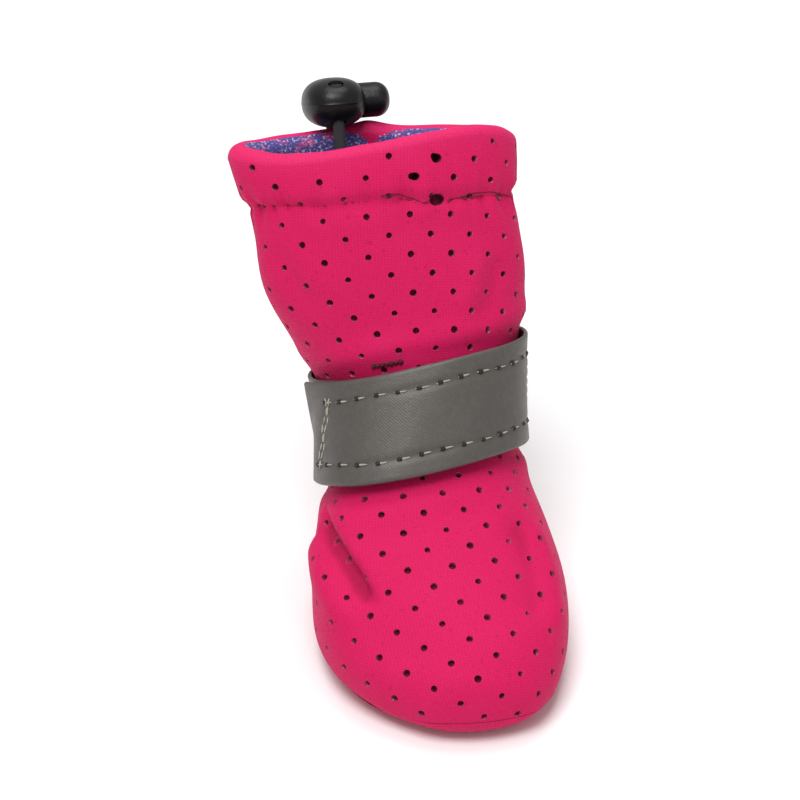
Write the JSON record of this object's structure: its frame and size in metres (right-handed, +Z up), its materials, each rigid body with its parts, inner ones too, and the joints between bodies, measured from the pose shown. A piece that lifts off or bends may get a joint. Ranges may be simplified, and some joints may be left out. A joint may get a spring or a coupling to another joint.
{
  "type": "dog boot",
  "caption": "Soft pull-on dog boot in perforated pink foam rubber with a hemmed drawcord collar, a black spring cord lock and a grey reflective ankle strap that laps over itself.",
  "frame": {"origin": "on the floor, under the middle of the boot's bounding box", "axes": "+Z up, toe towards -Y, the wearer's left towards +X; the collar leans back towards +Y"},
  "size_m": [0.0539, 0.0943, 0.0881],
  "materials": {
    "upper_foam": "knit-faced foam rubber, punched all over",
    "sole_foam": "plain knit-faced foam rubber",
    "reflective_tape": "fine glass-bead reflective tape, satin",
    "hook_tape": "hook-and-loop tape",
    "lock_plastic": "moulded, half gloss",
    "elastic_cord": "braided elastic cord"
  },
  "bodies": {
    "boot": {"upper": "upper_foam", "sole": "sole_foam", "ankle_strap": "reflective_tape", "hook_patch": "hook_tape", "cord_lock_body": "lock_plastic", "drawcord_inside": "elastic_cord", "drawcord_outside": "elastic_cord"},
    "lock_button": {"cord_lock_button": "lock_plastic"}
  },
  "joints": [
    {"name": "lock_button_press", "type": "slide", "parent": "boot", "child": "lock_button", "axis": [1, 0, 0], "range_m": [-0.0035, 0], "stiffness_N_per_m": 800, "springref_m": 0.003}
  ]
}
